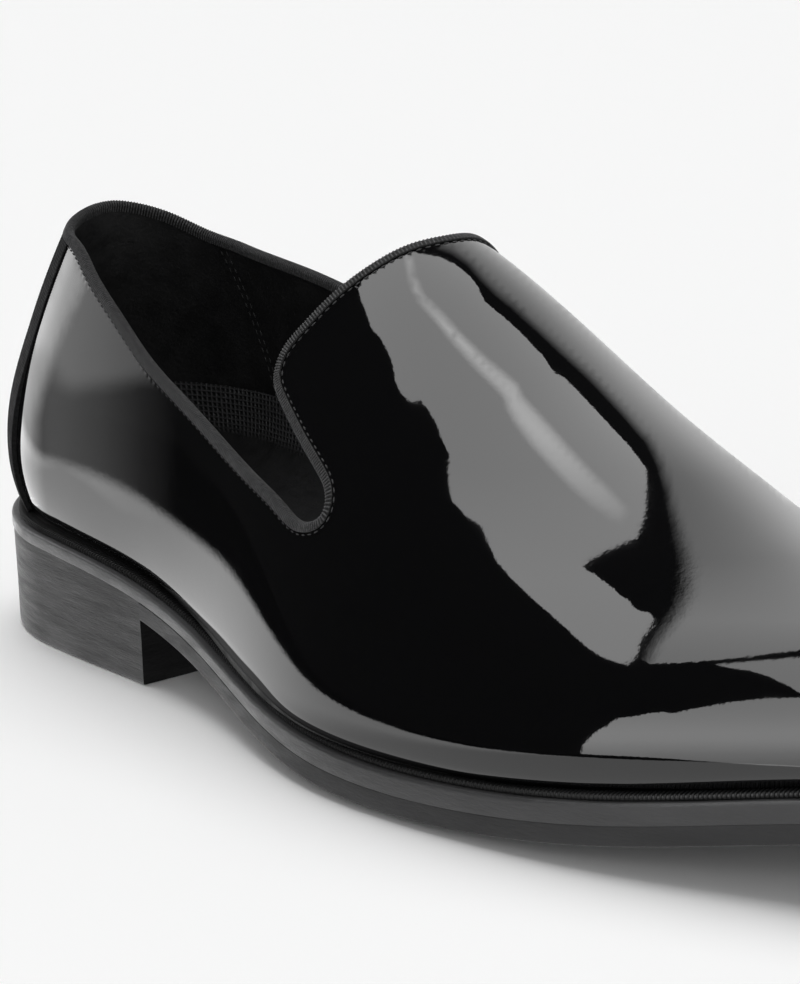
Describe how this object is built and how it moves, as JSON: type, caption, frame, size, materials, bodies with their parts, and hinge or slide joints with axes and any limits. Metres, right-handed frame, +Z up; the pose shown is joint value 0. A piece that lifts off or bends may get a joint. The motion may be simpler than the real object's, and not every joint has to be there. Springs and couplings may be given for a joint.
{
  "type": "venetian loafer",
  "caption": "Low-cut slip-on dress shoe in black patent with a ribbon-bound topline, notched sides, a rounded instep tab, a thin layered sole and a low block heel.",
  "frame": {"origin": "on the floor under the middle of the shoe's bounding box", "axes": "+X from the heel to the toe, +Y to the shoe's medial side (the wearer's left), +Z up"},
  "size_m": [0.2939, 0.0956, 0.0979],
  "materials": {
    "upper": "black patent, mirror gloss",
    "topline_binding": "black ribbed ribbon, matte",
    "back_strip": "black ribbed ribbon, matte",
    "welt": "dyed black, wheeled ribs",
    "midsole": "dark grey dyed edge, satin",
    "outsole": "near-black dyed edge, satin",
    "heel": "near-black dyed block, satin",
    "insole": "black woven sock, matte"
  },
  "bodies": {
    "root": {"upper": "upper", "topline_binding": "topline_binding", "back_strip": "back_strip", "welt": "welt", "midsole": "midsole", "outsole": "outsole", "heel": "heel", "insole": "insole"}
  },
  "joints": []
}
